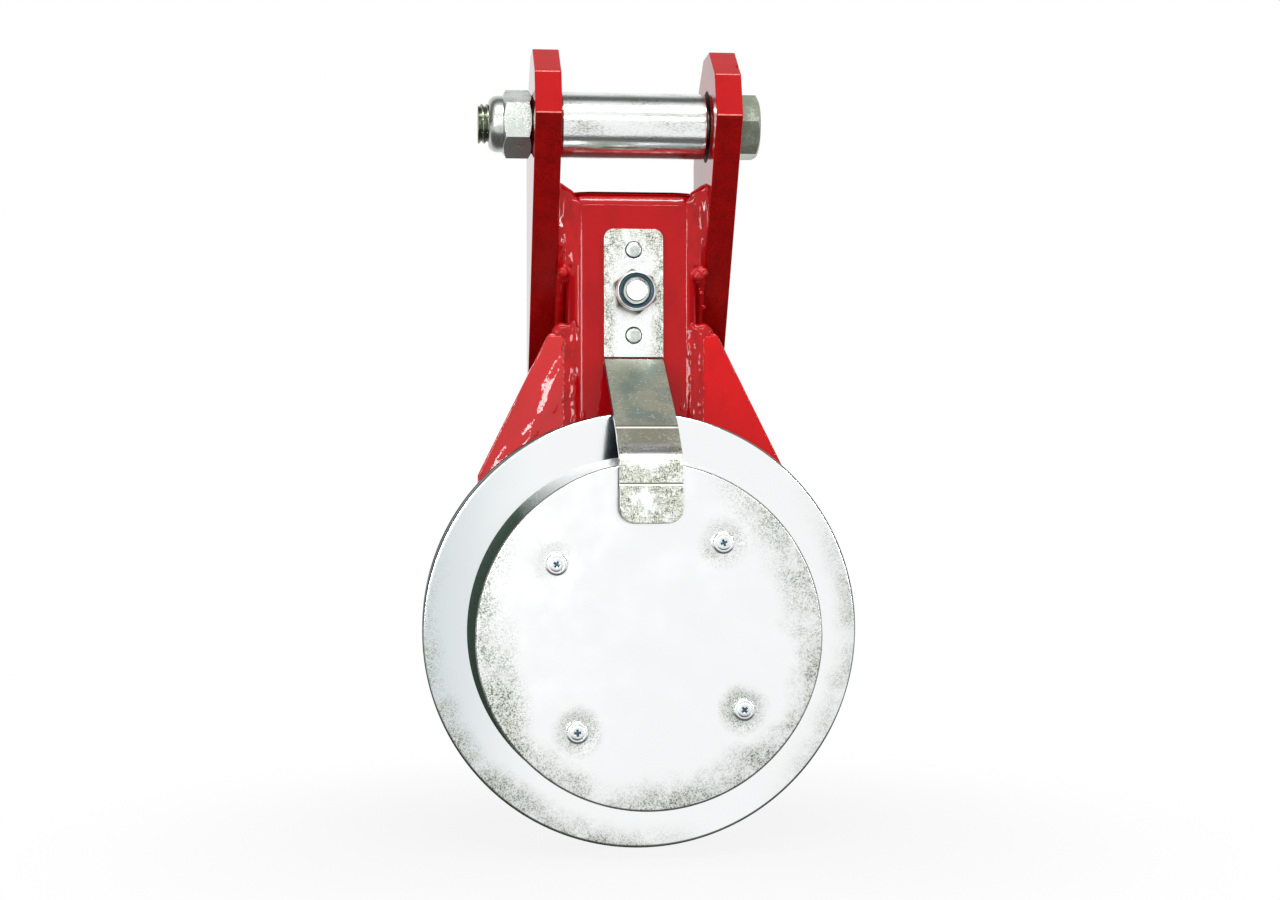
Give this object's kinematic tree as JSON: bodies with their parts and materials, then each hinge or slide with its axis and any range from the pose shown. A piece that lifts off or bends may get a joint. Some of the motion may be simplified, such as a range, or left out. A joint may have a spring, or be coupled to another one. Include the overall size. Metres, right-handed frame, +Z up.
{
  "type": "snatch block",
  "caption": "One-sided snatch block: clevis ears with cross bolt and sleeve, flanged spinning sheave on a stub axle, raised bearing cover and spring strap rope keeper.",
  "frame": {"origin": "middle of the hanger bolt, halfway between the two ears", "axes": "+X along the hanger bolt towards its head, +Z up, -Y towards the side that the rope is snapped in from"},
  "size_m": [0.2032, 0.1413, 0.3772],
  "materials": {
    "red_paint": "gloss",
    "zinc_plate": "bright zinc plate, lightly mottled",
    "zinc_fastener": "bright zinc plate",
    "turned_steel": "turned",
    "bearing_steel": "ground",
    "blue_nylon": "matt",
    "seal_rubber": "matt"
  },
  "bodies": {
    "frame": {"ear_left": "red_paint", "ear_right": "red_paint", "hanger_tube": "red_paint", "tube_top_cap": "red_paint", "tube_bottom_cap": "red_paint", "cheek_plate": "red_paint", "ear_welds": "red_paint", "cheek_welds": "red_paint", "hanger_bolt": "zinc_fastener", "hanger_nut": "zinc_fastener", "hanger_nut_insert": "blue_nylon", "keeper_base": "zinc_plate", "keeper_bolt": "zinc_fastener", "keeper_nut": "zinc_fastener", "keeper_nut_insert": "blue_nylon", "locating_pins": "zinc_fastener", "axle": "turned_steel", "axle_washer": "zinc_fastener", "axle_nut": "zinc_fastener", "thrust_washer": "zinc_fastener", "front_locknut": "zinc_fastener", "rear_bearing_inner": "bearing_steel", "front_bearing_inner": "bearing_steel", "inner_spacer": "turned_steel"},
    "sheave": {"sheave_wheel": "zinc_plate", "front_flange": "zinc_plate", "rear_flange": "zinc_plate", "front_flange_screws": "zinc_fastener", "rear_flange_screws": "zinc_fastener", "bearing_cover": "zinc_plate", "cover_posts": "zinc_fastener", "cover_screws": "zinc_fastener", "rear_bearing_outer": "bearing_steel", "front_bearing_outer": "bearing_steel", "rear_bearing_balls": "bearing_steel", "front_bearing_balls": "bearing_steel", "outer_spacer": "turned_steel", "hub_seal": "seal_rubber"},
    "hanger_roller": {"hanger_sleeve": "zinc_plate"},
    "keeper": {"keeper_leaf": "zinc_plate"}
  },
  "joints": [
    {"name": "sheave_spin", "type": "hinge", "parent": "frame", "child": "sheave", "pos_m": [0, -0.02225, -0.241], "axis": [0, -1, 0], "continuous": true},
    {"name": "sleeve_spin", "type": "hinge", "parent": "frame", "child": "hanger_roller", "pos_m": [0, 0, 0], "axis": [1, 0, 0], "continuous": true},
    {"name": "keeper_flex", "type": "hinge", "parent": "frame", "child": "keeper", "pos_m": [0, -0.0045, -0.114], "axis": [-1, 0, 0], "range_deg": [0, 12], "stiffness_Nm_per_rad": 40}
  ]
}
